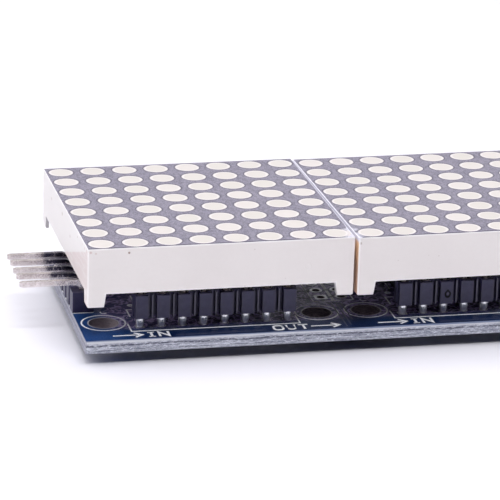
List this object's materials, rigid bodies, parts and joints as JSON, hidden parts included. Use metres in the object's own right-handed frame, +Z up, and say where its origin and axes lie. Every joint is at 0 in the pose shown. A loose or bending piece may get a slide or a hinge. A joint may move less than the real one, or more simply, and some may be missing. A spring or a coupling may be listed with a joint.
{
  "type": "led dot matrix",
  "caption": "Chained dot matrix display module: white square displays with round dots, plugged into sockets on one long blue circuit board, with a right-angle pin header at one end.",
  "frame": {"origin": "centre of the circuit board's underside, which is the centre of its mounting hole rectangles", "axes": "+X along the chain away from the input header, +Y to the rear socket row, +Z up out of the display faces"},
  "size_m": [0.1342, 0.0324, 0.0143],
  "materials": {
    "board_laminate": "blue solder mask over glass-epoxy laminate, satin",
    "white_housing": "moulded off-white polycarbonate with a grey printed face",
    "cast_resin": "milky cast epoxy, satin",
    "inner_laminate": "bare laminate, matt",
    "led_chip": "polished semiconductor",
    "tinned_leads": "tin plated, slightly dull",
    "turned_contacts": "turned, tin plated",
    "clip_brass": "gold flashed spring copper",
    "black_insulator": "black glass-filled moulding",
    "chip_moulding": "black moulding compound, fine matt",
    "capacitor_can": "satin drawn can",
    "ceramic_body": "sintered ceramic with tinned ends",
    "resistor_body": "glazed chip with tinned ends",
    "solder": "bright solder"
  },
  "bodies": {
    "root": {"capacitor_bases": "black_insulator", "ceramic_capacitors": "ceramic_body", "circuit_board": "board_laminate", "contact_clips": "clip_brass", "display_1_epoxy": "cast_resin", "display_1_housing": "white_housing", "display_1_led_board": "inner_laminate", "display_1_led_chips": "led_chip", "display_1_pins": "tinned_leads", "display_2_epoxy": "cast_resin", "display_2_housing": "white_housing", "display_2_led_board": "inner_laminate", "display_2_led_chips": "led_chip", "display_2_pins": "tinned_leads", "display_3_epoxy": "cast_resin", "display_3_housing": "white_housing", "display_3_led_board": "inner_laminate", "display_3_led_chips": "led_chip", "display_3_pins": "tinned_leads", "display_4_epoxy": "cast_resin", "display_4_housing": "white_housing", "display_4_led_board": "inner_laminate", "display_4_led_chips": "led_chip", "display_4_pins": "tinned_leads", "driver_chip_1": "chip_moulding", "driver_chip_1_leads": "tinned_leads", "driver_chip_2": "chip_moulding", "driver_chip_2_leads": "tinned_leads", "driver_chip_3": "chip_moulding", "driver_chip_3_leads": "tinned_leads", "driver_chip_4": "chip_moulding", "driver_chip_4_leads": "tinned_leads", "electrolytic_capacitor_1": "capacitor_can", "electrolytic_capacitor_2": "capacitor_can", "electrolytic_capacitor_3": "capacitor_can", "electrolytic_capacitor_4": "capacitor_can", "front_socket_1": "black_insulator", "front_socket_1_contacts": "turned_contacts", "front_socket_2": "black_insulator", "front_socket_2_contacts": "turned_contacts", "front_socket_3": "black_insulator", "front_socket_3_contacts": "turned_contacts", "front_socket_4": "black_insulator", "front_socket_4_contacts": "turned_contacts", "input_header": "black_insulator", "input_header_pins": "tinned_leads", "rear_socket_1": "black_insulator", "rear_socket_1_contacts": "turned_contacts", "rear_socket_2": "black_insulator", "rear_socket_2_contacts": "turned_contacts", "rear_socket_3": "black_insulator", "rear_socket_3_contacts": "turned_contacts", "rear_socket_4": "black_insulator", "rear_socket_4_contacts": "turned_contacts", "resistors": "resistor_body", "solder_joints": "solder"}
  },
  "joints": []
}
